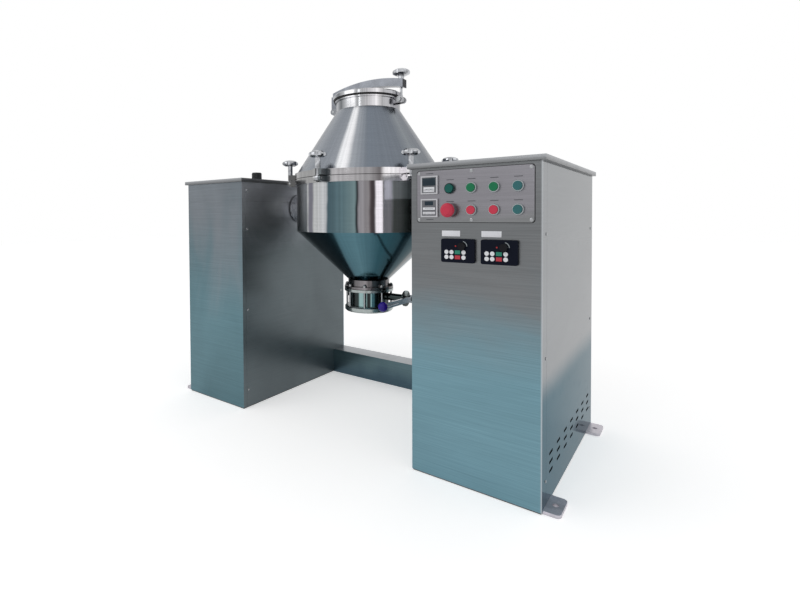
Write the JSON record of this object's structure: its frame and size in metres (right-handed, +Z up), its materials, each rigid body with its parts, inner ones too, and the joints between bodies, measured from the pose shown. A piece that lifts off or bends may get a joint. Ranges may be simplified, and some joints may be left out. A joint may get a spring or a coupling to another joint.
{
  "type": "rotary drum mixer",
  "caption": "Double-cone drum mixer tumbling on trunnions between two floor columns, with a lid arm, flange clamps, outlet valve and control panel.",
  "frame": {"origin": "on the floor at the middle of the four anchor holes, under the drum shaft's line", "axes": "+X towards the control column, +Y to the back, +Z up"},
  "size_m": [1.542, 0.716, 1.3162],
  "materials": {
    "panel_steel": "satin",
    "polished_steel": "polished",
    "satin_steel": "satin",
    "shiny_steel": "polished",
    "frame_paint": "matte",
    "machine_paint": "satin",
    "bearing_paint": "satin",
    "pulley_iron": "matte",
    "black_rubber": "matte",
    "black_plastic": "satin",
    "keypad_plastic": "satin",
    "white_plastic": "satin",
    "grey_plastic": "satin",
    "navy_plastic": "glossy",
    "red_plastic": "glossy",
    "green_plastic": "glossy",
    "teal_plastic": "glossy"
  },
  "bodies": {
    "stand": {"right_frame": "frame_paint", "left_frame": "frame_paint", "anchor_feet": "panel_steel", "rear_beam": "panel_steel", "right_front_panel": "panel_steel", "right_outer_panel": "polished_steel", "right_inner_panel": "panel_steel", "left_front_panel": "panel_steel", "left_outer_panel": "polished_steel", "left_inner_panel": "panel_steel", "inner_upper_panels": "panel_steel", "back_panels": "panel_steel", "top_covers": "panel_steel", "panel_screws": "shiny_steel", "top_cap": "black_plastic", "bearing_blocks": "bearing_paint", "machine_bolts": "shiny_steel", "gear_reducer": "machine_paint", "drum_motor": "machine_paint", "chopper_motor": "machine_paint", "drive_belt": "black_rubber", "control_plate": "panel_steel", "meters": "white_plastic", "button_rings": "shiny_steel", "contact_blocks": "black_plastic", "keypads": "keypad_plastic", "electrical_panel": "white_plastic"},
    "power_button": {"power_button": "teal_plastic"},
    "drum_start_button": {"drum_start_button": "green_plastic"},
    "chopper_start_button": {"chopper_start_button": "green_plastic"},
    "jog_button": {"jog_button": "teal_plastic"},
    "drum_stop_button": {"drum_stop_button": "red_plastic"},
    "chopper_stop_button": {"chopper_stop_button": "red_plastic"},
    "reset_button": {"reset_button": "teal_plastic"},
    "emergency_stop": {"emergency_stop": "red_plastic"},
    "drum_speed_knob": {"drum_speed_knob": "grey_plastic"},
    "chopper_speed_knob": {"chopper_speed_knob": "grey_plastic"},
    "drum": {"lower_shell": "polished_steel", "upper_shell": "satin_steel", "seals": "black_rubber", "left_trunnion": "satin_steel", "right_trunnion": "satin_steel", "valve_body": "polished_steel", "drum_bolts": "shiny_steel", "hinge_pins": "shiny_steel"},
    "lid": {"lid": "polished_steel", "lid_arm": "shiny_steel"},
    "lid_knob": {"lid_knob": "shiny_steel"},
    "clamp_1": {"clamp_1": "shiny_steel"},
    "clamp_2": {"clamp_2": "shiny_steel"},
    "clamp_3": {"clamp_3": "shiny_steel"},
    "clamp_4": {"clamp_4": "shiny_steel"},
    "clamp_5": {"clamp_5": "shiny_steel"},
    "clamp_6": {"clamp_6": "shiny_steel"},
    "valve_lever": {"valve_lever": "shiny_steel", "lever_ball": "navy_plastic", "valve_disc": "satin_steel"},
    "chopper": {"chopper_shaft": "satin_steel", "chopper_pulley": "pulley_iron"},
    "motor_pulley": {"motor_pulley": "pulley_iron"}
  },
  "joints": [
    {"name": "drum_spin", "type": "hinge", "parent": "stand", "child": "drum", "pos_m": [-0.012, 0, 0.797], "axis": [1, 0, 0], "continuous": true},
    {"name": "chopper_spin", "type": "hinge", "parent": "stand", "child": "chopper", "pos_m": [-0.5, 0, 0.797], "axis": [1, 0, 0], "continuous": true},
    {"name": "motor_pulley_spin", "type": "hinge", "parent": "stand", "child": "motor_pulley", "pos_m": [-0.6, 0, 0.24], "axis": [1, 0, 0], "continuous": true},
    {"name": "lid_hinge", "type": "hinge", "parent": "drum", "child": "lid", "pos_m": [-0.177, 0, 1.195], "axis": [0, -1, 0], "range_deg": [0, 105]},
    {"name": "lid_knob_turn", "type": "hinge", "parent": "lid", "child": "lid_knob", "pos_m": [0.138, 0, 1.25], "axis": [0, 0, 1], "continuous": true},
    {"name": "valve_turn", "type": "hinge", "parent": "drum", "child": "valve_lever", "pos_m": [-0.012, 0, 0.448], "axis": [1, 0, 0], "range_deg": [0, 90]},
    {"name": "clamp_1_swing", "type": "hinge", "parent": "drum", "child": "clamp_1", "pos_m": [0.2634, 0.159, 0.895], "axis": [-0.5, 0.866, 0], "range_deg": [0, 55]},
    {"name": "clamp_2_swing", "type": "hinge", "parent": "drum", "child": "clamp_2", "pos_m": [-0.012, 0.318, 0.895], "axis": [-1, 0, 0], "range_deg": [0, 90]},
    {"name": "clamp_3_swing", "type": "hinge", "parent": "drum", "child": "clamp_3", "pos_m": [-0.2874, 0.159, 0.895], "axis": [-0.5, -0.866, 0], "range_deg": [0, 55]},
    {"name": "clamp_4_swing", "type": "hinge", "parent": "drum", "child": "clamp_4", "pos_m": [-0.2874, -0.159, 0.895], "axis": [0.5, -0.866, 0], "range_deg": [0, 55]},
    {"name": "clamp_5_swing", "type": "hinge", "parent": "drum", "child": "clamp_5", "pos_m": [-0.012, -0.318, 0.895], "axis": [1, 0, 0], "range_deg": [0, 90]},
    {"name": "clamp_6_swing", "type": "hinge", "parent": "drum", "child": "clamp_6", "pos_m": [0.2634, -0.159, 0.895], "axis": [0.5, 0.866, 0], "range_deg": [0, 55]},
    {"name": "power_button_press", "type": "slide", "parent": "stand", "child": "power_button", "axis": [0, 1, 0], "range_m": [0, 0.003], "stiffness_N_per_m": 400, "springref_m": -0.002},
    {"name": "drum_start_button_press", "type": "slide", "parent": "stand", "child": "drum_start_button", "axis": [0, 1, 0], "range_m": [0, 0.003], "stiffness_N_per_m": 400, "springref_m": -0.002},
    {"name": "chopper_start_button_press", "type": "slide", "parent": "stand", "child": "chopper_start_button", "axis": [0, 1, 0], "range_m": [0, 0.003], "stiffness_N_per_m": 400, "springref_m": -0.002},
    {"name": "jog_button_press", "type": "slide", "parent": "stand", "child": "jog_button", "axis": [0, 1, 0], "range_m": [0, 0.003], "stiffness_N_per_m": 400, "springref_m": -0.002},
    {"name": "drum_stop_button_press", "type": "slide", "parent": "stand", "child": "drum_stop_button", "axis": [0, 1, 0], "range_m": [0, 0.003], "stiffness_N_per_m": 400, "springref_m": -0.002},
    {"name": "chopper_stop_button_press", "type": "slide", "parent": "stand", "child": "chopper_stop_button", "axis": [0, 1, 0], "range_m": [0, 0.003], "stiffness_N_per_m": 400, "springref_m": -0.002},
    {"name": "reset_button_press", "type": "slide", "parent": "stand", "child": "reset_button", "axis": [0, 1, 0], "range_m": [0, 0.003], "stiffness_N_per_m": 400, "springref_m": -0.002},
    {"name": "emergency_stop_press", "type": "slide", "parent": "stand", "child": "emergency_stop", "axis": [0, 1, 0], "range_m": [0, 0.004]},
    {"name": "drum_speed_knob_turn", "type": "hinge", "parent": "stand", "child": "drum_speed_knob", "pos_m": [0.5215, -0.347, 0.677], "axis": [0, 1, 0], "range_deg": [-140, 140]},
    {"name": "chopper_speed_knob_turn", "type": "hinge", "parent": "stand", "child": "chopper_speed_knob", "pos_m": [0.636, -0.347, 0.677], "axis": [0, 1, 0], "range_deg": [-140, 140]}
  ],
  "couplings": [
    {"joint": "motor_pulley_spin", "follows": "chopper_spin", "ratio": 1.5714}
  ]
}
